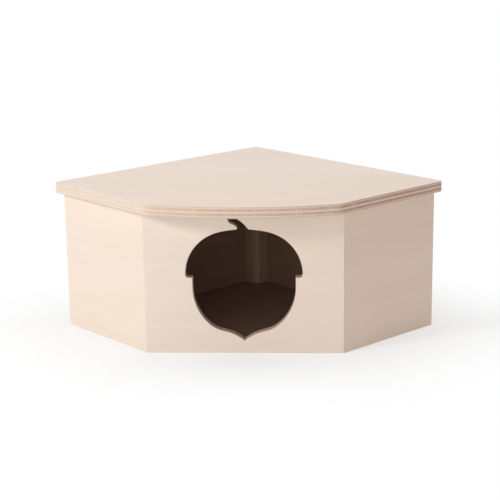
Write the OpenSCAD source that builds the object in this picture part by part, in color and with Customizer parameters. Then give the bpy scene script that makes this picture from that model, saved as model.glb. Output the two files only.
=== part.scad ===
// Corner hide for a hamster: five mitred plywood walls round a floorless chamber,
// an acorn-shaped doorway in the short front wall, and a fan-shaped roof that lifts off.
// +Z is up, the front faces -Y, and the origin is under the middle of the roof, on the floor.

/* [Walls] */
// Length of each back wall, over its outside corners
back_wall_l = 173.5; // [160:0.5:200]
// Length of each short side wall, over its outside corners
side_wall_l = 85; // [70:0.5:95]
// Height of the walls
wall_h = 92.7; // [90:0.1:130]
// Thickness of the wall plywood
wall_t = 5.5; // [3:0.5:8]

/* [Glue blocks in the corners] */
// How far a block runs along each of its two walls
block_w = 12; // [8:0.5:16]
// How deep the blocks of the two blunt front corners stand off their walls
block_d = 6; // [4:0.5:10]
// Chamfer on the inner edge of a block in a square corner
block_chamfer = 3; // [0.5:0.5:5]

/* [Roof] */
// Thickness of the roof plywood
roof_t = 7; // [5:0.5:12]
// How far the roof stands past the side walls
roof_side_over = 7.5; // [2:0.5:15]
// How far the middle of the curved edge stands past the front wall
roof_front_over = 21.7; // [16:0.1:30]
// Rounding of the corners in the roof's outline
roof_corner_r = 1.5; // [1:0.5:6]
// Easing of the roof's top and bottom edges
roof_ease = 0.5; // [0.2:0.1:1.5]
// Gap between the roof and the walls that carry it
roof_gap = 0.3; // [0.1:0.1:1]

/* [Locating battens under the roof] */
// Width and depth of a batten
batten_w = 8; // [5:0.5:12]
// Chamfer that leads a batten in between the walls
batten_chamfer = 1.5; // [0.5:0.5:3]
// Clearance between a batten and the walls and blocks round it
batten_clear = 1; // [0.5:0.1:2]

/* [Doorway, the nut] */
// Half the width of the nut, also the radius of its round sides
nut_r = 32.4; // [29:0.1:34]
// Height of the nut's centre above the floor
nut_z = 43; // [41:0.5:46]
// How far the pointed tip lies below the nut's centre
tip_drop = 34.6; // [33:0.1:38]
// Radius of the turn from the nut's side to its bottom
shoulder_r = 20; // [15:0.5:22]
// Angle from straight down at which that turn starts
shoulder_a = 45; // [35:1:55]
// Radius of the hollow flanks that run into the tip
flank_r = 30; // [25:0.5:45]

/* [Doorway, the cap] */
// How far the cap stands past the nut on each side
cap_over = 4.4; // [3:0.1:7]
// Height of the cap's lower edge above the nut's centre
cap_lift = 6.8; // [4:0.1:8]
// Radius of the cap's sides
haunch_r = 28; // [22:0.5:28]
// Radius of the cap's flatter crown
crown_r = 67; // [55:1:90]
// Rounding of the cap's two lower corners
cap_corner_r = 2; // [1:0.5:3]

/* [Doorway, the stem] */
// Height of the stem above the cap's crown
stem_h = 6.7; // [5:0.1:8]
// Radius of the stem's outer curve
stem_outer_r = 19.9; // [18:0.1:24]
// Radius of the stem's inner curve
stem_inner_r = 9.6; // [8:0.1:10]
// Width of the stem where it leaves the cap
stem_w = 5.8; // [5:0.1:7]
// Where the stem's right edge leaves the cap, right of the middle
stem_right = 2.9; // [1:0.1:5]
// Angle at which both curves leave the cap, to the left of upright
stem_lean = 32; // [26:1:38]
// How far the stem's end reaches to the left of its right edge
stem_reach = 12.7; // [11:0.1:15]
// Slant of the stem's end, sideways for each unit down
stem_slant = 0.5; // [0.2:0.1:0.8]
// Rounding where the inner curve meets the cap
stem_fillet_r = 1; // [0.5:0.1:1.5]

/* [Hidden] */
$fn = 128;

// Plan of the walls, in the corner frame: the square back corner is at [0, 0], the back left wall
// runs along X and the back right wall along Y. Corners: back, left, front left, front right, right.
WALLS_OUT = [
    [0, 0], [back_wall_l, 0], [back_wall_l, side_wall_l], [side_wall_l, back_wall_l], [0, back_wall_l]
];
// The front wall stands at 45 degrees, so its thickness takes this much off the side walls' inside
front_mitre = wall_t * tan(22.5);
inner_l = back_wall_l - wall_t;
inner_side = side_wall_l - front_mitre;
WALLS_IN = [
    [wall_t, wall_t], [inner_l, wall_t], [inner_l, inner_side], [inner_side, inner_l], [wall_t, inner_l]
];

roof_side = back_wall_l + roof_side_over;
front_dist = (back_wall_l + side_wall_l) / sqrt(2);
roof_r = front_dist + roof_front_over;
// The origin is under the middle of the roof, from its back corner to its curved edge
back_y = roof_r / 2;
front_y = back_y - front_dist;
roof_z = wall_h + roof_gap;
batten_start = wall_t + block_w + batten_clear;
batten_l = inner_l - block_w - batten_clear - batten_start;

NUT = [0, nut_z];
TIP = [0, nut_z - tip_drop];
SHOULDER = NUT + (nut_r - shoulder_r) * [sin(shoulder_a), -cos(shoulder_a)];
FLANK = meet(SHOULDER, shoulder_r + flank_r, TIP, flank_r, 1);
cap_z = nut_z + cap_lift;
cap_w = nut_r + cap_over;
widest_z = cap_z + cap_corner_r;
HAUNCH = [cap_w - haunch_r, widest_z];
CROWN = [0, widest_z - sqrt(pow(crown_r - haunch_r, 2) - pow(HAUNCH[0], 2))];
crown_z = CROWN[1] + crown_r;
LEAN = [cos(stem_lean), sin(stem_lean)];
STEM_OUTER = [stem_right, crown_z] - stem_outer_r * LEAN;
STEM_INNER = [stem_right - stem_w, crown_z] - stem_inner_r * LEAN;
STEM_CORNER = meet(STEM_INNER, stem_inner_r, CROWN, crown_r, 1);
STEM_FILLET = meet(STEM_INNER, stem_inner_r - stem_fillet_r, CROWN, crown_r + stem_fillet_r, 1);
// Cuts run this far past what they cut
over = 1;
// Arcs that run smoothly into one another overlap by this much, which keeps the join free of slivers
hair = 0.001;

function unit(v) = v / norm(v);

// The point at distance a from p and b from q, on the left (side 1) or right (-1) of the way to q
function meet(p, a, q, b, side) =
    let (d = norm(q - p), along = (a * a - b * b + d * d) / (2 * d), e = unit(q - p))
    p + along * e + side * sqrt(a * a - along * along) * [-e[1], e[0]];

function flip(p) = [-p[0], p[1]];
function swap(p) = [p[1], p[0]];

// Turns the corner frame so that its diagonal points to the front
module corner_frame() {
    translate([0, back_y, 0]) rotate(-135) children();
}

module both_sides() {
    children();
    mirror([1, 0]) children();
}

// One wall, from corner i to the next: its ends are mitred to meet its neighbours
module wall(i) {
    j = (i + 1) % len(WALLS_OUT);
    corner_frame() linear_extrude(wall_h)
        polygon([WALLS_OUT[i], WALLS_OUT[j], WALLS_IN[j], WALLS_IN[i]]);
}

module disc_at(centre, r) {
    translate(centre) circle(r);
}

// Everything between two directions from a point
module sector(centre, p, q) {
    reach = 2 * crown_r;
    polygon([centre, centre + reach * unit(p - centre), centre + reach * unit(q - centre)]);
}

// The nut: a round below straight sides, drawn in by two shoulders and hollow flanks to a tip
module nut() {
    turn = SHOULDER + shoulder_r * unit(FLANK - SHOULDER);
    difference() {
        disc_at(NUT, nut_r);
        sector(NUT, SHOULDER, flip(SHOULDER));
    }
    both_sides() disc_at(SHOULDER, shoulder_r + hair);
    difference() {
        polygon([NUT, SHOULDER, turn, TIP - [0, over], flip(turn), flip(SHOULDER)]);
        both_sides() disc_at(FLANK, flank_r);
    }
    translate([-nut_r, nut_z]) square([2 * nut_r, widest_z - nut_z]);
}

// The cap: a three-centred arch on a lip with small round corners
module cap() {
    both_sides() intersection() {
        disc_at(HAUNCH, haunch_r);
        translate([0, widest_z]) square(cap_w + over);
    }
    intersection() {
        disc_at(CROWN, crown_r - hair);
        sector(CROWN, HAUNCH, flip(HAUNCH));
    }
    both_sides() disc_at([cap_w - cap_corner_r, widest_z], cap_corner_r);
    translate([cap_corner_r - cap_w, cap_z]) square([2 * (cap_w - cap_corner_r), cap_corner_r]);
}

// The stem: the horn between two curves, cut flat at its top and slanting at its end
module stem() {
    top = crown_z + stem_h;
    foot = crown_z - over;
    reach = stem_right + stem_outer_r * (1 - LEAN[0]);
    tip_x = stem_right - stem_reach;
    difference() {
        intersection() {
            disc_at(STEM_OUTER, stem_outer_r);
            polygon([
                [tip_x, top], [reach, top], [reach, foot], [tip_x + stem_slant * (top - foot), foot]
            ]);
        }
        disc_at(STEM_INNER, stem_inner_r);
    }
    past = 2 * stem_fillet_r;
    difference() {
        polygon([
            STEM_FILLET,
            STEM_FILLET + past * unit(STEM_FILLET - STEM_INNER),
            STEM_FILLET + 1.5 * (STEM_CORNER - STEM_FILLET),
            STEM_FILLET - past * unit(STEM_FILLET - CROWN)
        ]);
        disc_at(STEM_FILLET, stem_fillet_r + hair);
    }
}

module acorn() {
    nut();
    cap();
    stem();
}

// A block of wood along both walls of a square corner, with its free edge taken off
module square_post(i) {
    corner_frame() translate(WALLS_IN[i]) rotate(i == 0 ? 0 : i == 1 ? 90 : -90) linear_extrude(wall_h)
        polygon([
            [0, 0], [block_w, 0], [block_w, block_w - block_chamfer],
            [block_w - block_chamfer, block_w], [0, block_w]
        ]);
}

// A five-sided block in a blunt corner, square to both of its walls
module blunt_post(at, to_side, to_front) {
    side = unit(to_side - at);
    front = unit(to_front - at);
    into_side = front - (front * side) * side;
    into_front = side - (front * side) * front;
    corner_frame() linear_extrude(wall_h)
        polygon([
            at, at + block_w * side, at + block_w * side + block_d * unit(into_side),
            at + block_w * front + block_d * unit(into_front), at + block_w * front
        ]);
}

// A plate's edge in section, from 0 to l, with its upper and lower edges eased
module eased_bar(l) {
    rotate([90, 0, 90]) linear_extrude(l)
        polygon([
            [roof_ease, 0], [l - roof_ease, 0], [l, roof_ease], [l, roof_t - roof_ease],
            [l - roof_ease, roof_t], [roof_ease, roof_t], [0, roof_t - roof_ease], [0, roof_ease]
        ]);
}

module eased_disc(r) {
    rotate_extrude()
        polygon([
            [0, 0], [r - roof_ease, 0], [r, roof_ease], [r, roof_t - roof_ease],
            [r - roof_ease, roof_t], [0, roof_t]
        ]);
}

// What a round corner takes off the roof: its centre, and the ways to where the round starts and ends
module corner_waste(centre, from, to) {
    reach = 3 * roof_corner_r;
    difference() {
        translate([0, 0, -over]) linear_extrude(roof_t + 2 * over)
            polygon([centre, centre + reach * from, centre + reach * to]);
        translate(centre) eased_disc(roof_corner_r);
    }
}

module front_panel() {
    color("wheat") difference() {
        wall(2);
        translate([0, front_y + wall_t + over, 0]) rotate([90, 0, 0])
            linear_extrude(wall_t + 2 * over) acorn();
    }
}

module left_side_panel() {
    color("wheat") wall(1);
}

module right_side_panel() {
    color("wheat") wall(3);
}

module back_left_panel() {
    color("wheat") wall(0);
}

module back_right_panel() {
    color("wheat") wall(4);
}

module back_corner_post() {
    color("burlywood") square_post(0);
}

module left_corner_post() {
    color("burlywood") square_post(1);
}

module right_corner_post() {
    color("burlywood") square_post(4);
}

module front_left_post() {
    color("burlywood") blunt_post(WALLS_IN[2], WALLS_IN[1], WALLS_IN[3]);
}

module front_right_post() {
    color("burlywood") blunt_post(WALLS_IN[3], WALLS_IN[4], WALLS_IN[2]);
}

// A square with an arc across its front corner, struck from the back corner
module roof_panel() {
    near = roof_corner_r;
    far = roof_side - roof_corner_r;
    kink = [far, sqrt(pow(roof_r - roof_corner_r, 2) - pow(far, 2))];
    color("wheat") corner_frame() translate([0, 0, roof_z]) difference() {
        intersection() {
            eased_bar(roof_side);
            mirror([1, -1, 0]) eased_bar(roof_side);
            eased_disc(roof_r);
        }
        corner_waste([near, near], [-1, 0], [0, -1]);
        corner_waste([far, near], [1, 0], [0, -1]);
        corner_waste([near, far], [-1, 0], [0, 1]);
        corner_waste(kink, [1, 0], unit(kink));
        corner_waste(swap(kink), [0, 1], unit(swap(kink)));
    }
}

// A batten along a back wall: its lower edges lead it in, and the corner blocks stop its ends
module batten() {
    translate([batten_start, wall_t + batten_clear, roof_z - batten_w])
        rotate([90, 0, 90]) linear_extrude(batten_l)
            polygon([
                [batten_chamfer, 0], [batten_w - batten_chamfer, 0], [batten_w, batten_chamfer],
                [batten_w, batten_w], [0, batten_w], [0, batten_chamfer]
            ]);
}

module roof_batten_left() {
    color("burlywood") corner_frame() batten();
}

module roof_batten_right() {
    color("burlywood") corner_frame() mirror([1, -1, 0]) batten();
}

front_panel();
left_side_panel();
right_side_panel();
back_left_panel();
back_right_panel();
back_corner_post();
left_corner_post();
right_corner_post();
front_left_post();
front_right_post();
roof_panel();
roof_batten_left();
roof_batten_right();
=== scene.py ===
import math
import bmesh
import bpy
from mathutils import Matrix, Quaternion, Vector


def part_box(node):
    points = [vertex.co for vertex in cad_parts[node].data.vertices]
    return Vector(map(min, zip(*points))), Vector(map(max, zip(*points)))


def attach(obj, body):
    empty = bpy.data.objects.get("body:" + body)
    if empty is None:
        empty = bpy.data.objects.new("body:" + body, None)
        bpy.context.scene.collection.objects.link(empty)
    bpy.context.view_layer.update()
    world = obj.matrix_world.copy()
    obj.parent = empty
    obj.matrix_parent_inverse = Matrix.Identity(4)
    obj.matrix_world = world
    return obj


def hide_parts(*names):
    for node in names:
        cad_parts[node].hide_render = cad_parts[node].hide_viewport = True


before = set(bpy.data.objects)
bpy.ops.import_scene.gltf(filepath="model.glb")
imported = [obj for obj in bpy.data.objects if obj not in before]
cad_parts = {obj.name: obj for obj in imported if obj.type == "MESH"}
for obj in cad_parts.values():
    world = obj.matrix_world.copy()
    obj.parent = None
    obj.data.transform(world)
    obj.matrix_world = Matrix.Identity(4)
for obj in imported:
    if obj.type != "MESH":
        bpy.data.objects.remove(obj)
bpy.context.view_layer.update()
print("frame loaded:", len(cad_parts), "solids")

cameraLook = {
    "place": (0.04756, -0.90672, 0.28327),
    "aim": (0.0, -0.00863, 0.04637),
    "roll": -0.82,            # degrees, the photograph leans a little
    "lens": 98.72,
    "sensor": 36.0,
    "shift": (0.0006, 0.0074),
    "clip": (0.01, 50),
}


def facing(place, aim):
    # the turn that points a camera or a lamp at its aim
    return (Vector(aim) - Vector(place)).to_track_quat("-Z", "Y")


def setUp(name, data, place, turn):
    holder = bpy.data.objects.new(name, data)
    bpy.context.scene.collection.objects.link(holder)
    holder.location = place
    holder.rotation_mode = "QUATERNION"
    holder.rotation_quaternion = turn
    return holder


def makeCamera(look):
    lens = bpy.data.cameras.new("viewCamera")
    lens.lens = look["lens"]
    lens.sensor_width = look["sensor"]
    lens.shift_x, lens.shift_y = look["shift"]
    lens.clip_start, lens.clip_end = look["clip"]
    lean = Quaternion((0, 0, 1), math.radians(look["roll"]))
    turn = facing(look["place"], look["aim"]) @ lean
    bpy.context.scene.camera = setUp("viewCamera", lens, look["place"], turn)


makeCamera(cameraLook)
bpy.context.scene.view_settings.view_transform = "Standard"


# small helpers that wire up shader nodes

def addNode(tree, kind, feeds=None, **settings):
    node = tree.nodes.new(kind)
    for key, value in settings.items():
        setattr(node, key, value)
    for key, value in (feeds or {}).items():
        if isinstance(value, bpy.types.NodeSocket):
            tree.links.new(value, node.inputs[key])
        else:
            node.inputs[key].default_value = value
    return node


def groupNode(tree, group, feeds):
    return addNode(tree, "ShaderNodeGroup", feeds, node_tree=group).outputs


def reckon(tree, operation, *values, clamp=False):
    feeds = dict(enumerate(values))
    return addNode(tree, "ShaderNodeMath", feeds, operation=operation, use_clamp=clamp).outputs[0]


def ramp(tree, value, low, high, start=0.0, end=1.0):
    feeds = {"Value": value, "From Min": low, "From Max": high, "To Min": start, "To Max": end}
    return addNode(tree, "ShaderNodeMapRange", feeds, interpolation_type="SMOOTHSTEP").outputs[0]


def course(tree, value, stops):
    # a tone or level that changes from stop to stop along a length
    first, last = stops[0][0], stops[-1][0]
    share = reckon(tree, "DIVIDE", reckon(tree, "SUBTRACT", value, first), last - first)
    node = addNode(tree, "ShaderNodeValToRGB", {0: share})
    points = node.color_ramp.elements
    while len(points) < len(stops):
        points.new(1.0)
    for point, (place, tone) in zip(points, stops):
        point.position = (place - first) / (last - first)
        point.color = (*tone, 1) if isinstance(tone, tuple) else (tone, tone, tone, 1)
    return node.outputs["Color"]


def blendTone(tree, share, first, second, way="MIX"):
    node = addNode(tree, "ShaderNodeMix", data_type="RGBA", blend_type=way)
    for place, value in ((0, share), (6, first), (7, second)):
        if isinstance(value, bpy.types.NodeSocket):
            tree.links.new(value, node.inputs[place])
        else:
            node.inputs[place].default_value = value if place == 0 else (*value, 1)
    return node.outputs[2]


def emptyTree(owner):
    owner.use_nodes = True
    owner.node_tree.nodes.clear()
    return owner.node_tree


def seenDirectly(tree):
    # camera, glossy and transmitted rays all meet the same plain white
    path = addNode(tree, "ShaderNodeLightPath")
    glossy = reckon(tree, "MAXIMUM", path.outputs["Is Camera Ray"], path.outputs["Is Glossy Ray"])
    return reckon(tree, "MAXIMUM", glossy, path.outputs["Is Transmission Ray"])


plainWhite = (1, 1, 1, 1)

lampLook = {
    "ambient": 0.35,
    "lamps": {
        "keyLeft": {"place": (-0.75, -0.53, 0.49), "size": 0.16, "watts": 3.5},
        "softboxTop": {"place": (0.05, 0.1, 1.25), "size": 1.1, "watts": 6.9},
        "softboxFront": {"place": (-0.22, -1.25, 0.42), "size": 0.9, "watts": 3.15},
    },
    "lampAim": (0, 0, 0.05),
}


def makeLight(look):
    world = bpy.data.worlds.new("studio")
    bpy.context.scene.world = world
    tree = emptyTree(world)
    feeds = {"Color": plainWhite, "Strength": look["ambient"]}
    lit = addNode(tree, "ShaderNodeBackground", feeds).outputs[0]
    feeds = {"Color": plainWhite, "Strength": 1.0}
    white = addNode(tree, "ShaderNodeBackground", feeds).outputs[0]
    both = addNode(tree, "ShaderNodeMixShader", {0: seenDirectly(tree), 1: lit, 2: white})
    addNode(tree, "ShaderNodeOutputWorld", {"Surface": both.outputs[0]})
    for name, lamp in look["lamps"].items():
        light = bpy.data.lights.new(name, "AREA")
        light.shape = "SQUARE"
        light.size = lamp["size"]
        light.energy = lamp["watts"]
        setUp(name, light, lamp["place"], facing(lamp["place"], look["lampAim"]))


makeLight(lampLook)

# eighths of a turn that bring each wall's outer face to the front
wallTurns = {
    "front_panel": 0, "left_side_panel": 1, "right_side_panel": -1,
    "back_left_panel": 3, "back_right_panel": -3,
}

floorLook = {
    "size": 30,
    "paint": (0.95, 0.95, 0.95),
    "shade": (0.37, 0.245, 0.18),   # painted shade: a darker, browner floor under the roof, inside the walls
    "shadeEdge": 0.003,             # how far under a wall the paint turns to that shade
    "plainNear": 0.5,               # share of plain white beside the walls, the rest is lit
    "plainAway": 0.11,              # where the floor has run to plain white all over
    "rough": 0.9,
    "specular": 0.1,
}


def wallAngle(node):
    return math.radians(45 * wallTurns[node])


def outwards(node):
    angle = wallAngle(node)
    return Vector((-math.sin(angle), -math.cos(angle), 0))


def reachOf(node):
    # how far out from the origin a wall's outer face stands
    way = outwards(node)
    return max(way.dot(corner.co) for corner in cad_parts[node].data.vertices)


def makeFloor(look):
    bpy.ops.object.select_all(action="DESELECT")
    bpy.ops.mesh.primitive_plane_add(size=look["size"], location=(0, 0, 0))
    floor = bpy.context.object
    floor.name = "floor"
    paint = bpy.data.materials.new("floorPaint")
    tree = emptyTree(paint)
    spot = addNode(tree, "ShaderNodeTexCoord").outputs["Object"]
    # how far outside the walls a spot is, below zero within them
    away = -1.0
    for node in wallTurns:
        feeds = {0: spot, 1: outwards(node)}
        out = addNode(tree, "ShaderNodeVectorMath", feeds, operation="DOT_PRODUCT").outputs["Value"]
        away = reckon(tree, "MAXIMUM", away, reckon(tree, "SUBTRACT", out, reachOf(node)))
    outside = ramp(tree, away, -look["shadeEdge"], 0.0)
    fade = ramp(tree, away, 0.0, look["plainAway"], look["plainNear"], 1.0)
    plain = reckon(tree, "MULTIPLY", outside, fade)
    # painted shade: inside the walls the floor turns to the darker shade tone
    lit = addNode(tree, "ShaderNodeBsdfPrincipled", {
        "Base Color": blendTone(tree, outside, look["shade"], look["paint"]),
        "Roughness": look["rough"], "Specular IOR Level": look["specular"]}).outputs[0]
    feeds = {"Color": plainWhite, "Strength": 1.0}
    white = addNode(tree, "ShaderNodeEmission", feeds).outputs[0]
    share = reckon(tree, "MULTIPLY", plain, seenDirectly(tree))
    both = addNode(tree, "ShaderNodeMixShader", {0: share, 1: lit, 2: white})
    addNode(tree, "ShaderNodeOutputMaterial", {"Surface": both.outputs[0]})
    floor.data.materials.append(paint)


makeFloor(floorLook)
print("camera, lamps and floor are set")


# wood effects that the materials share; their noise scales are cells to the metre

def newGroup(name, takes, gives):
    tree = bpy.data.node_groups.new(name, "ShaderNodeTree")
    for label, start in takes.items():
        kind = "NodeSocketVector" if isinstance(start, tuple) else "NodeSocketFloat"
        socket = tree.interface.new_socket(name=label, in_out="INPUT", socket_type=kind)
        socket.default_value = start
    for label in gives:
        tree.interface.new_socket(name=label, in_out="OUTPUT", socket_type="NodeSocketFloat")
    start, end = tree.nodes.new("NodeGroupInput"), tree.nodes.new("NodeGroupOutput")
    return tree, start.outputs, end.inputs


def stretched(tree, vector, scale, detail=2.0, rough=0.5, move=(0, 0, 0)):
    feeds = {"Vector": vector, "Scale": scale, "Location": move}
    drawn = addNode(tree, "ShaderNodeMapping", feeds).outputs[0]
    feeds = {"Vector": drawn, "Scale": 1.0, "Detail": detail, "Roughness": rough}
    return addNode(tree, "ShaderNodeTexNoise", feeds).outputs[0]


def centred(tree, noise):
    return reckon(tree, "SUBTRACT", noise, 0.5)


fibreLook = {
    "wander": (9, 30, 30),          # along the fibres, across them and in depth
    "fine": (70, 3400, 3400),
    "streaks": (11, 420, 420),
    "drift": (7, 38, 38),
    "pores": (330, 5200, 5200),
    "stray": 0.012,                 # how far the fibres wander from a straight line
    "poreFrom": 0.66,               # noise level at which a pore starts to show
    "poreFull": 0.78,
    "fineHeight": 0.6,
    "streakHeight": 0.4,
    "poreDepth": 0.8,
}


def makeFibres(look):
    # peeled birch, its fibres along X: fine fibres, wider streaks, slow drift and short pores
    tree, takes, gives = newGroup(
        "birchFibres",
        {"Vector": (0.0, 0.0, 0.0), "Fine": 0.5, "Streaks": 0.5, "Drift": 0.5, "Pores": 0.5},
        ("Tone", "Pore", "Height"),
    )
    wander = stretched(tree, takes["Vector"], look["wander"], 1.0)
    offset = reckon(tree, "MULTIPLY_ADD", wander, look["stray"], -look["stray"] / 2)
    bend = addNode(tree, "ShaderNodeCombineXYZ", {1: offset, 2: offset}).outputs[0]
    bent = addNode(tree, "ShaderNodeVectorMath", {0: takes["Vector"], 1: bend}).outputs[0]
    fine = stretched(tree, bent, look["fine"], 2.0, 0.6)
    streaks = stretched(tree, bent, look["streaks"], 3.0, 0.55, (3, 1, 7))
    drift = stretched(tree, bent, look["drift"], 2.0, 0.5, (8, 4, 2))
    tone = 0.5
    for noise, share in ((fine, "Fine"), (streaks, "Streaks"), (drift, "Drift")):
        tone = reckon(tree, "MULTIPLY_ADD", centred(tree, noise), takes[share], tone)
    speck = stretched(tree, bent, look["pores"], 0.0, 0.5, (5, 9, 1))
    speck = ramp(tree, speck, look["poreFrom"], look["poreFull"])
    pore = reckon(tree, "MULTIPLY", speck, takes["Pores"])
    lift = reckon(tree, "MULTIPLY", streaks, look["streakHeight"])
    lift = reckon(tree, "MULTIPLY_ADD", fine, look["fineHeight"], lift)
    sunk = reckon(tree, "MULTIPLY", pore, look["poreDepth"])
    tree.links.new(reckon(tree, "ADD", tone, 0.0, clamp=True), gives["Tone"])
    tree.links.new(pore, gives["Pore"])
    tree.links.new(reckon(tree, "SUBTRACT", lift, sunk), gives["Height"])
    return tree


bandLook = {
    "wave": (45, 45, 45),
    "waver": 0.00012,               # how far the plies waver in depth
    "faceSkin": 0.00003,            # depth to which a board's rim still counts as its face
    "edgeFull": 0.00018,            # depth from which it counts as its edge
    "insideSkin": 0.0002,           # depth to which the inner face reaches
}


def makeBands(look):
    # counts the plies through a board's thickness: Cross is 1 in the plies laid across the grain
    tree, takes, gives = newGroup(
        "plyBands",
        {"Depth": 0.0, "Thick": 0.0055, "Plies": 3.0, "Wave": (0.0, 0.0, 0.0), "Glue": 0.08},
        ("Cross", "Glue", "Ply", "Edge", "Inside"),
    )
    wave = centred(tree, stretched(tree, takes["Wave"], look["wave"], 2.0))
    depth = reckon(tree, "MULTIPLY_ADD", wave, look["waver"], takes["Depth"])
    count = reckon(tree, "MULTIPLY", reckon(tree, "DIVIDE", depth, takes["Thick"]), takes["Plies"])
    # the count stays just inside the first and the last ply
    last = reckon(tree, "SUBTRACT", takes["Plies"], 0.001)
    count = reckon(tree, "MINIMUM", reckon(tree, "MAXIMUM", count, 0.001), last)
    ply = reckon(tree, "FLOOR", count)
    near = reckon(tree, "ROUND", count)
    gap = reckon(tree, "ABSOLUTE", reckon(tree, "SUBTRACT", count, near))
    # a line of glue lies between two plies, never on the outer faces
    lowest = reckon(tree, "GREATER_THAN", near, 0.5)
    highest = reckon(tree, "LESS_THAN", near, reckon(tree, "SUBTRACT", takes["Plies"], 0.5))
    between = reckon(tree, "MULTIPLY", lowest, highest)
    glue = reckon(tree, "MULTIPLY", ramp(tree, gap, takes["Glue"], 0.0), between)
    other = reckon(tree, "SUBTRACT", takes["Thick"], takes["Depth"])
    fromOutside, fromInside = (
        ramp(tree, skin, look["faceSkin"], look["edgeFull"]) for skin in (takes["Depth"], other))
    tree.links.new(reckon(tree, "MODULO", ply, 2.0), gives["Cross"])
    tree.links.new(glue, gives["Glue"])
    tree.links.new(ply, gives["Ply"])
    tree.links.new(reckon(tree, "MULTIPLY", fromOutside, fromInside), gives["Edge"])
    # the inner face, where the painted inside shade goes
    tree.links.new(ramp(tree, other, look["insideSkin"], look["faceSkin"]), gives["Inside"])
    return tree


markLook = {
    "throughPitch": 60.0,           # the lines run long through the board's thickness
    "patches": (60, 60, 60),
}


def makeMarks(look):
    # what a cutter leaves on a board's edge: fine lines, and a tone that comes and goes
    tree, takes, gives = newGroup(
        "cutterMarks",
        {"Vector": (0.0, 0.0, 0.0), "Amount": 0.0, "Marks": 0.5, "Uneven": 0.4, "Pitch": 1900.0},
        ("Amount", "Height"),
    )
    feeds = {0: takes["Pitch"], 1: look["throughPitch"], 2: takes["Pitch"]}
    pitch = addNode(tree, "ShaderNodeCombineXYZ", feeds).outputs[0]
    feeds = {0: takes["Vector"], 1: pitch}
    drawn = addNode(tree, "ShaderNodeVectorMath", feeds, operation="MULTIPLY").outputs[0]
    lines = stretched(tree, drawn, (1, 1, 1), 1.0)
    patches = stretched(tree, takes["Vector"], look["patches"], 2.0, 0.5, (2, 6, 3))
    amount = reckon(tree, "MULTIPLY_ADD", centred(tree, lines), takes["Marks"], 1.0)
    amount = reckon(tree, "MULTIPLY_ADD", centred(tree, patches), takes["Uneven"], amount)
    amount = reckon(tree, "MULTIPLY", amount, takes["Amount"], clamp=True)
    tree.links.new(amount, gives["Amount"])
    tree.links.new(reckon(tree, "MULTIPLY", lines, takes["Amount"]), gives["Height"])
    return tree


rimLook = {
    "ragged": (300, 300, 300),
    "least": 0.7,                   # share of its reach that the line keeps where it is thinnest
    "varies": 0.6,
    "starts": (0.2, 0.45),          # shares of its reach over which the line comes in
    "stops": (1.1, 0.75),           # and over which it is gone again, given backwards
}


def makeRim(look):
    # a thin darker line just inside both faces of a board's edge, near its rims
    tree, takes, gives = newGroup(
        "boardRim",
        {"Depth": 0.0, "Thick": 0.007, "Reach": 0.0007, "Vector": (0.0, 0.0, 0.0)},
        ("Line",),
    )
    other = reckon(tree, "SUBTRACT", takes["Thick"], takes["Depth"])
    nearest = reckon(tree, "MINIMUM", takes["Depth"], other)
    ragged = stretched(tree, takes["Vector"], look["ragged"], 2.0)
    ragged = reckon(tree, "MULTIPLY_ADD", ragged, look["varies"], look["least"])
    reach = reckon(tree, "MULTIPLY", takes["Reach"], ragged)
    share = reckon(tree, "DIVIDE", nearest, reach)
    starts, stops = ramp(tree, share, *look["starts"]), ramp(tree, share, *look["stops"])
    tree.links.new(reckon(tree, "MULTIPLY", starts, stops), gives["Line"])
    return tree


ringLook = {
    "sway": (14, 110, 110),
    "swayBy": 0.0016,               # how far a ring strays from round
    "fibre": (90, 3600, 3600),
    "darkens": (0.35, 0.88),        # shares of a ring over which its late wood darkens
    "ends": (1.0, 0.93),            # and over which it ends, given backwards
    "ringHeight": 0.5,
}


def makeRings(look):
    # sawn pine, its length along X: growth rings round a pith, and fibres along the length
    tree, takes, gives = newGroup(
        "pineRings",
        {"Vector": (0.0, 0.0, 0.0), "Width": 0.0017, "Fibre": 0.4},
        ("Ring", "Tone", "Height"),
    )
    split = addNode(tree, "ShaderNodeSeparateXYZ", {0: takes["Vector"]}).outputs
    sway = stretched(tree, takes["Vector"], look["sway"], 2.0)
    flat = addNode(tree, "ShaderNodeCombineXYZ", {1: split[1], 2: split[2]}).outputs[0]
    far = addNode(tree, "ShaderNodeVectorMath", {0: flat}, operation="LENGTH").outputs["Value"]
    far = reckon(tree, "MULTIPLY_ADD", sway, look["swayBy"], far)
    turn = reckon(tree, "FRACT", reckon(tree, "DIVIDE", far, takes["Width"]))
    darkens, ends = ramp(tree, turn, *look["darkens"]), ramp(tree, turn, *look["ends"])
    late = reckon(tree, "MULTIPLY", darkens, ends)
    fibre = stretched(tree, takes["Vector"], look["fibre"], 2.0, 0.6, (4, 2, 5))
    tone = reckon(tree, "MULTIPLY_ADD", centred(tree, fibre), takes["Fibre"], 0.5)
    tree.links.new(late, gives["Ring"])
    tree.links.new(tone, gives["Tone"])
    tree.links.new(reckon(tree, "MULTIPLY_ADD", late, look["ringHeight"], fibre), gives["Height"])
    return tree


fibreGroup = makeFibres(fibreLook)
bandGroup = makeBands(bandLook)
markGroup = makeMarks(markLook)
rimGroup = makeRim(rimLook)
ringGroup = makeRings(ringLook)
print("wood effects are made")

plyLook = {
    "pale": (0.890, 0.772, 0.680),
    "warm": (0.810, 0.670, 0.561),
    "pore": (0.60, 0.46, 0.355),
    "crossPly": (0.49, 0.325, 0.237),
    "glue": (0.33, 0.215, 0.155),
    "rimLine": (0.40, 0.275, 0.205),
    # painted shade for the walls' inner faces
    "inside": (0.42, 0.285, 0.20),
    "fine": 0.4, "streaks": 0.6, "drift": 0.55, "pores": 0.12,
    "markDepth": 0.6,         # of the marks on the edges, beside the fibres' own height
    "edgeCalm": 0.7,          # share of the bump that the edges go without
    "rough": (0.50, 0.66),
    "specular": 0.32,
    "bump": 0.35,
    "lift": 0.00012,          # from the lowest to the highest fibre
}


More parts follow.
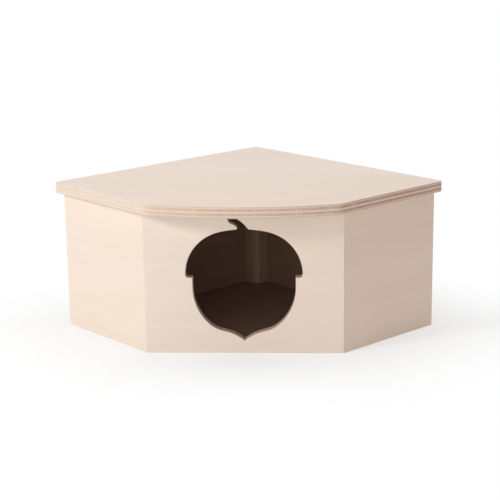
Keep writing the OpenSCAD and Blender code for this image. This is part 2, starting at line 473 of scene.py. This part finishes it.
def newWood(name):
    material = bpy.data.materials.new(name)
    return material, emptyTree(material)


def finishWood(tree, colour, tone, height, look):
    rough = ramp(tree, tone, 0.2, 0.8, *look["rough"])
    feeds = {"Height": height, "Strength": look["bump"], "Distance": look["lift"]}
    bump = addNode(tree, "ShaderNodeBump", feeds).outputs[0]
    shader = addNode(tree, "ShaderNodeBsdfPrincipled", {
        "Base Color": colour, "Roughness": rough, "Normal": bump,
        "Specular IOR Level": look["specular"]})
    addNode(tree, "ShaderNodeOutputMaterial", {"Surface": shader.outputs[0]})


def plyFibres(tree, board, split, bands, look):
    # the fibres turn by a quarter in the crossed plies, and every ply has its own
    feeds = {0: split[2], 1: split[1], 2: split[0]}
    across = addNode(tree, "ShaderNodeCombineXYZ", feeds).outputs[0]
    feeds = {0: bands["Cross"], 4: board, 5: across}
    grain = addNode(tree, "ShaderNodeMix", feeds, data_type="VECTOR").outputs[1]
    aside = addNode(tree, "ShaderNodeCombineXYZ", {0: bands["Ply"], 2: bands["Ply"]}).outputs[0]
    return groupNode(tree, fibreGroup, {
        "Vector": addNode(tree, "ShaderNodeVectorMath", {0: grain, 1: aside}).outputs[0],
        "Fine": look["fine"], "Streaks": look["streaks"],
        "Drift": look["drift"], "Pores": look["pores"]})


def placeOnEdge(tree, split, lay):
    # the place along the board that an edge takes its tone from
    along = split[0]
    if "backEdges" not in lay:
        return along
    # each back edge is alike from end to end
    behind = reckon(tree, "LESS_THAN", split[2], lay["backEdges"])
    ahead = reckon(tree, "MULTIPLY", along, reckon(tree, "SUBTRACT", 1.0, behind))
    side = reckon(tree, "MULTIPLY", reckon(tree, "SIGN", along), behind)
    return reckon(tree, "MULTIPLY_ADD", side, lay["ends"][-1][0], ahead)


def dressLip(tree, board, split, bands, colour, height, thick, lip):
    # the doorway's cut edge: browner at the crossed ply and deeper in, with the cutter's marks
    within = bands["Edge"]
    for way, low, high in zip((0, 2), *lip["box"]):
        above = reckon(tree, "GREATER_THAN", split[way], low)
        within = reckon(tree, "MULTIPLY", within, above)
        below = reckon(tree, "LESS_THAN", split[way], high)
        within = reckon(tree, "MULTIPLY", within, below)
    deep = ramp(tree, split[1], 0.0, thick, lip["front"], lip["back"])
    marks = groupNode(tree, markGroup, {
        "Vector": board, "Amount": reckon(tree, "MULTIPLY", within, deep),
        "Marks": lip["marks"], "Uneven": lip["uneven"], "Pitch": lip["pitch"]})
    darker = reckon(tree, "MAXIMUM", bands["Cross"], bands["Glue"])
    tone = blendTone(tree, darker, lip["tan"], lip["brown"])
    colour = blendTone(tree, marks["Amount"], colour, tone)
    return colour, reckon(tree, "ADD", height, marks["Height"])


def plyWood(name, lay, look, lip=None):
    # lay turns the board's own directions to X along the grain, Y into the thickness
    material, tree = newWood(name)
    feeds = {
        "Vector": addNode(tree, "ShaderNodeTexCoord").outputs["Object"],
        "Rotation": lay["turn"], "Location": lay["move"]}
    board = addNode(tree, "ShaderNodeMapping", feeds).outputs[0]
    split = addNode(tree, "ShaderNodeSeparateXYZ", {0: board}).outputs
    bands = groupNode(tree, bandGroup, {
        "Depth": split[1], "Thick": lay["thick"], "Plies": lay["plies"],
        "Wave": board, "Glue": lay["glueLine"]})
    fibres = plyFibres(tree, board, split, bands, look)
    colour = blendTone(tree, fibres["Tone"], look["pale"], look["warm"])
    colour = blendTone(tree, fibres["Pore"], colour, look["pore"])
    # faces and edges each drift from tint to tint, in places as painted shade
    along = placeOnEdge(tree, split, lay)
    faceTint = course(tree, split[lay["faceWay"]], lay["faceTint"])
    edgeTint = course(tree, along, lay["edgeTint"])
    tint = blendTone(tree, bands["Edge"], faceTint, edgeTint)
    colour = blendTone(tree, 1.0, colour, tint, "MULTIPLY")
    # on the edge, plies laid across the grain show their darker ends, more in some places;
    # on the roof that change along the edge, which the glue and rim lines share, is painted shade
    level = reckon(tree, "MULTIPLY", bands["Edge"], course(tree, along, lay["ends"]))
    ends = groupNode(tree, markGroup, {
        "Vector": board, "Amount": reckon(tree, "MULTIPLY", bands["Cross"], level),
        "Marks": lay["ticks"], "Uneven": lay["uneven"], "Pitch": lay["pitch"]})
    rim = groupNode(tree, rimGroup, {
        "Depth": split[1], "Thick": lay["thick"], "Reach": lay["rim"], "Vector": board})
    colour = blendTone(tree, ends["Amount"], colour, look["crossPly"])
    for line, tone in ((bands["Glue"], look["glue"]), (rim["Line"], look["rimLine"])):
        shown = reckon(tree, "MULTIPLY", line, level, clamp=True)
        colour = blendTone(tree, shown, colour, tone)
    sunk = reckon(tree, "MULTIPLY", ends["Height"], look["markDepth"])
    height = reckon(tree, "SUBTRACT", fibres["Height"], sunk)
    calm = reckon(tree, "MULTIPLY_ADD", bands["Edge"], -look["edgeCalm"], 1.0)
    height = reckon(tree, "MULTIPLY", height, calm)
    if lip:
        colour, height = dressLip(tree, board, split, bands, colour, height, lay["thick"], lip)
    # painted shade: inner faces turn to the darker inside tone, where the closed house is in shade
    dullToneAndInsideShade = reckon(tree, "MULTIPLY", bands["Inside"], lay["dullToneAndInsideShade"])
    colour = blendTone(tree, dullToneAndInsideShade, colour, look["inside"])
    finishWood(tree, colour, fibres["Tone"], height, look)
    return material


pineLook = {
    "early": (0.74, 0.575, 0.415),
    "late": (0.56, 0.375, 0.225),
    "dullToneAndInsideShade": (0.62, 0.50, 0.40),
    "ringWidth": 0.0019,
    "ringShade": 0.7,
    "fibre": 0.55,
    "rough": (0.52, 0.68),
    "specular": 0.32,
    "bump": 0.4,
    "lift": 0.00012,
}


def pineWood(name, turn, move, look):
    material, tree = newWood(name)
    spot = addNode(tree, "ShaderNodeTexCoord").outputs["Object"]
    feeds = {"Vector": spot, "Rotation": turn, "Location": move}
    stick = addNode(tree, "ShaderNodeMapping", feeds).outputs[0]
    feeds = {"Vector": stick, "Width": look["ringWidth"], "Fibre": look["fibre"]}
    rings = groupNode(tree, ringGroup, feeds)
    shade = reckon(tree, "MULTIPLY", rings["Ring"], look["ringShade"])
    colour = blendTone(tree, shade, look["early"], look["late"])
    colour = blendTone(tree, rings["Tone"], colour, look["dullToneAndInsideShade"], "MULTIPLY")
    finishWood(tree, colour, rings["Tone"], rings["Height"], look)
    return material


# steps that every piece goes through

meshLook = {
    "joined": 0.000002,       # corners of the solid this close are one
    "flat": 0.4,              # degrees between triangles of one face
    "smooth": 35,             # degrees up to which a bend is shaded round
    "sharp": 25,              # degrees from which an edge is eased
    "sameLevel": 0.00001,     # how near a corner is to the level it lies on
    "samePoint": 0.00002,     # how near it is to the point that is meant
}


def takeUp(piece):
    bpy.ops.object.select_all(action="DESELECT")
    piece.select_set(True)
    bpy.context.view_layer.objects.active = piece


def pick(piece, kind, test):
    # in edit mode, picks the corners, edges or faces that pass the test, and nothing else
    bpy.ops.mesh.select_mode(type=kind)
    bpy.ops.mesh.select_all(action="DESELECT")
    shell = bmesh.from_edit_mesh(piece.data)
    parts = {"VERT": shell.verts, "EDGE": shell.edges, "FACE": shell.faces}[kind]
    for part in [part for part in parts if test(part)]:
        part.select_set(True)
    bmesh.update_edit_mesh(piece.data)


def middle(part):
    return sum((corner.co for corner in part.verts), Vector()) / len(part.verts)


def levelNormals(piece):
    takeUp(piece)
    bpy.ops.object.shade_smooth_by_angle(angle=math.radians(meshLook["smooth"]))
    bpy.ops.object.modifier_add(type="WEIGHTED_NORMAL")
    level = piece.modifiers[-1]
    level.keep_sharp = True
    level.weight = 100
    bpy.ops.object.modifier_apply(modifier=level.name)


def easeEdges(piece, look):
    # rounds the sharp edges and keeps the flats flat
    takeUp(piece)
    bpy.ops.object.modifier_add(type="BEVEL")
    bevel = piece.modifiers[-1]
    bevel.width, bevel.segments = look["eased"], look["steps"]
    bevel.limit_method, bevel.angle_limit = "ANGLE", math.radians(meshLook["sharp"])
    bpy.ops.object.modifier_apply(modifier=bevel.name)
    levelNormals(piece)


def roundLip(piece, lip):
    # the doorway's front edge is rounded further than the rest
    front = min(corner.co.y for corner in piece.data.vertices)
    (left, bottom), (right, top) = lip["box"]
    pick(piece, "EDGE", lambda part: all(
        abs(corner.co.y - front) < meshLook["sameLevel"]
        and left < corner.co.x < right and bottom < corner.co.z < top
        for corner in part.verts))
    bpy.ops.mesh.bevel(
        offset_type="OFFSET", offset=lip["rounded"], segments=lip["steps"], affect="EDGES")


def easedCopy(node, name, look, lip=None):
    # a merged copy of the solid, with its triangles joined into whole faces
    piece = bpy.data.objects.new(name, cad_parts[node].data.copy())
    bpy.context.scene.collection.objects.link(piece)
    piece.data.materials.clear()
    takeUp(piece)
    bpy.ops.mesh.customdata_custom_splitnormals_clear()
    bpy.ops.object.mode_set(mode="EDIT")
    bpy.ops.mesh.select_all(action="SELECT")
    bpy.ops.mesh.remove_doubles(threshold=meshLook["joined"])
    bpy.ops.mesh.dissolve_limited(angle_limit=math.radians(meshLook["flat"]))
    if lip:
        roundLip(piece, lip)
    bpy.ops.object.mode_set(mode="OBJECT")
    easeEdges(piece, look)
    return piece


def settle(piece, material, body, node):
    piece.data.materials.append(material)
    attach(piece, body)
    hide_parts(node)


wallLook = {
    "eased": 0.00025,
    "steps": 3,
    "plies": 3,
    "thick": 0.0055,
    "glueLine": 0.10,
    "rim": 0.0003,
    "ticks": 0.6, "uneven": 0.4,
    "pitch": 720.0,
    "dullToneAndInsideShade": 1.0,              # how far the inner face takes the painted inside shade
    # places along the wall, with how much the middle ply's ends show and the tint of the edge
    "ends": ((-0.2, 0.8), (0.2, 0.8)),
    "edgeTint": ((-0.2, (0.92, 0.87, 0.815)), (0.2, (0.92, 0.87, 0.815))),
    "faceWay": 0,             # its face is tinted from left to right
    # node: (piece, places from left to right with the tints of its face); the right wall's pinker,
    # darker tint and the front wall's darkening to the right are painted shade
    "walls": {
        "front_panel": (
            "frontWall", ((-0.06, (0.99, 1.0, 1.0)), (0.06, (0.965, 0.957, 0.937)))),
        "left_side_panel": (
            "leftWall", ((-0.15, (0.972, 0.977, 0.968)), (0.15, (0.962, 0.966, 0.952)))),
        "right_side_panel": (
            "rightWall", ((-0.15, (0.985, 0.926, 0.892)), (0.15, (0.99, 0.932, 0.896)))),
        "back_left_panel": (
            "backLeftWall", ((-0.15, (0.98, 0.97, 0.96)), (0.15, (0.965, 0.95, 0.935)))),
        "back_right_panel": (
            "backRightWall", ((-0.15, (0.96, 0.945, 0.93)), (0.15, (0.975, 0.965, 0.95)))),
    },
    "doorway": {
        "box": ((-0.05, 0.004), (0.05, 0.090)),
        "tan": (0.66, 0.47, 0.355),
        "brown": (0.44, 0.285, 0.205),
        "front": 0.85, "back": 1.0,
        "rounded": 0.0005, "steps": 4,   # the lip's front edge
        "marks": 0.7, "uneven": 0.5,
        "pitch": 1900.0,
    },
}


def makeWalls(look):
    for node, (name, tints) in look["walls"].items():
        lip = look["doorway"] if node == "front_panel" else None
        piece = easedCopy(node, name, look, lip)
        lay = {
            **look, "faceTint": tints,
            "turn": (0, 0, wallAngle(node)), "move": (0, reachOf(node), 0),
        }
        birch = plyWood(name + "Birch", lay, plyLook, lip)
        settle(piece, birch, "house", node)


makeWalls(wallLook)
print("walls are made")

stickLook = {
    "eased": 0.0005,
    "steps": 3,
    # node: (piece, how far its length and its pith are shifted)
    "posts": {
        "back_corner_post": ("backPost", (0.05, 0.012, 0.004)),
        "left_corner_post": ("leftPost", (0.31, -0.006, 0.019)),
        "right_corner_post": ("rightPost", (0.52, 0.021, -0.012)),
        "front_left_post": ("frontLeftPost", (0.77, -0.016, -0.008)),
        "front_right_post": ("frontRightPost", (0.93, 0.004, 0.021)),
    },
    # node: (piece, degrees that bring its length to X, the same shifts)
    "battens": {
        "roof_batten_left": ("leftBatten", 135, (0.11, 0.009, 0.012)),
        "roof_batten_right": ("rightBatten", -135, (0.47, -0.013, -0.009)),
    },
}


def makeStick(node, name, body, turn, move, look):
    piece = easedCopy(node, name, look)
    pine = pineWood(name + "Pine", turn, move, pineLook)
    settle(piece, pine, body, node)


def makeSticks(look):
    for node, (name, pith) in look["posts"].items():
        low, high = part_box(node)
        # stood on end: the height becomes the length, and the pith lies outside the stick
        move = (pith[0], pith[1] - (low.y + high.y) / 2, pith[2] + (low.x + high.x) / 2)
        makeStick(node, name, "house", (0, math.radians(90), 0), move, look)
    for node, (name, turn, pith) in look["battens"].items():
        low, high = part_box(node)
        centre = (low + high) / 2
        angle = math.radians(turn)
        inward = Vector((math.sin(angle), math.cos(angle), 0))
        move = (pith[0], pith[1] - inward.dot(centre), pith[2] - centre.z)
        makeStick(node, name, "roof", (0, 0, angle), move, look)


makeSticks(stickLook)
print("posts and battens are made")

roofLook = {
    "side": 0.181,            # each back edge, from the back corner
    "sweep": 0.204487,        # radius of the curved edge, struck from the back corner
    "facets": 900,
    "corner": 0.0015,         # radius of the back corner
    "tips": 0.0028,           # radius of the two side corners
    "bends": (0.028, 0.008),  # radii of the blunt corners at the curve's left and right end
    "bendRoom": 0.0005,       # how much of the curve past a bend is straightened for it
    "cornerSteps": 6,
    "bendSteps": 12,
    "eased": 0.0005,
    "steps": 3,
    "plies": 5,
    "glueLine": 0.09,
    "relief": 0.00005,        # how far the plies that show their ends lie back
    "reliefSlope": 0.00008,
    "rim": 0.0006,
    "ticks": 1.7, "uneven": 0.7,
    "pitch": 720.0,
    "dullToneAndInsideShade": 0.0,              # its underside gets no painted inside shade and is as pale as its top
    # places from left to right along the side edges and the curve, with how much the crossed
    # plies' ends show and the tint of the edge; the outermost two are for the back edges.
    # The dark ends are real; their fading on the lit left and growing to the right, and the edge
    # turning pinker and darker to the right, are painted shade
    "ends": (
        (-0.14, 0.6), (-0.13, 0.12), (-0.062, 0.14), (-0.056, 0.36),
        (0.060, 0.66), (0.063, 0.92), (0.13, 0.95), (0.14, 0.6),
    ),
    "edgeTint": (
        (-0.14, (0.90, 0.86, 0.81)), (-0.13, (0.903, 0.889, 0.867)),
        (-0.062, (0.903, 0.884, 0.852)), (-0.056, (0.903, 0.855, 0.788)),
        (0.060, (0.893, 0.826, 0.749)), (0.063, (0.932, 0.806, 0.778)),
        (0.13, (0.932, 0.806, 0.778)), (0.14, (0.90, 0.86, 0.81)),
    ),
    "backEdges": 0.026,       # how far to the front the back edges reach
    "faceWay": 2,             # its faces are tinted from the back to the front
    "faceTint": (
        (-0.10, (0.985, 0.985, 1.0)), (0.0, (0.971, 0.971, 0.985)), (0.09, (0.955, 0.94, 0.934)),
    ),
}


def roundCorner(piece, corner, cutBack, steps):
    pick(piece, "VERT", lambda part: (part.co - corner).length < meshLook["samePoint"])
    bpy.ops.mesh.bevel(offset_type="OFFSET", offset=cutBack, segments=steps, affect="VERTICES")


def drawOutline(look, back):
    # a disc round the back corner, cut back to the corner's quarter and to the two short sides
    toLeft, toRight = Vector((-1, -1, 0)).normalized(), Vector((1, -1, 0)).normalized()
    bpy.ops.object.select_all(action="DESELECT")
    bpy.ops.mesh.primitive_circle_add(
        vertices=look["facets"], radius=look["sweep"], fill_type="NGON", location=back)
    roof = bpy.context.object
    roof.name = "roofBoard"
    bpy.ops.object.transform_apply(location=True, rotation=True, scale=True)
    bpy.ops.object.mode_set(mode="EDIT")
    for way in (toLeft, toRight):
        for place, towards in ((back, -way), (back + way * look["side"], way)):
            bpy.ops.mesh.select_all(action="SELECT")
            bpy.ops.mesh.bisect(
                plane_co=place, plane_no=towards, clear_outer=True, use_fill=False)
    # the back and the two side corners are square, the two at the curve are blunt
    roundCorner(roof, back, look["corner"], look["cornerSteps"])
    for way in (toLeft, toRight):
        roundCorner(roof, back + way * look["side"], look["tips"], look["cornerSteps"])
    reach = math.sqrt(look["sweep"] ** 2 - look["side"] ** 2)
    half = math.acos(look["side"] / look["sweep"]) / 2
    for way, other, radius in zip((toLeft, toRight), (toRight, toLeft), look["bends"]):
        kink = back + way * look["side"] + other * reach
        cutBack = radius * math.tan(half)
        # the curve's own corners make room first
        room = cutBack + look["bendRoom"]
        pick(roof, "VERT", lambda part: meshLook["samePoint"] < (part.co - kink).length < room)
        bpy.ops.mesh.dissolve_verts()
        roundCorner(roof, kink, cutBack, look["bendSteps"])
    return roof


def buildPlies(roof, look, bottom, top):
    thick = (top - bottom) / look["plies"]
    bpy.ops.mesh.select_mode(type="FACE")
    bpy.ops.mesh.select_all(action="SELECT")
    for ply in range(look["plies"]):
        bpy.ops.mesh.extrude_region_move(TRANSFORM_OT_translate={"value": (0, 0, thick)})
    bpy.ops.mesh.select_all(action="SELECT")
    bpy.ops.mesh.normals_make_consistent(inside=False)
    # rims of the underside and the top
    for level in (bottom, top):
        pick(roof, "EDGE", lambda part: all(
            abs(corner.co.z - level) < meshLook["sameLevel"] for corner in part.verts))
        bpy.ops.mesh.bevel(
            offset_type="OFFSET", offset=look["eased"], segments=look["steps"], affect="EDGES")
    # every second ply lies back a little
    for ply in range(1, look["plies"], 2):
        low, high = bottom + ply * thick, bottom + (ply + 1) * thick
        pick(roof, "FACE", lambda part: abs(part.normal.z) < 0.1 and low < middle(part).z < high)
        bpy.ops.mesh.inset(
            thickness=look["reliefSlope"], depth=-look["relief"],
            use_boundary=True, use_even_offset=True)


def makeRoof(look):
    low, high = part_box("roof_panel")
    back = Vector((0, high.y + look["corner"] * (math.sqrt(2) - 1), low.z))
    roof = drawOutline(look, back)
    buildPlies(roof, look, low.z, high.z)
    bpy.ops.object.mode_set(mode="OBJECT")
    levelNormals(roof)
    lay = {
        **look, "thick": high.z - low.z,
        "turn": (math.radians(-90), 0, 0), "move": (0, -low.z, 0),
    }
    settle(roof, plyWood("roofBirch", lay, plyLook), "roof", "roof_panel")


makeRoof(roofLook)
print("roof is made")
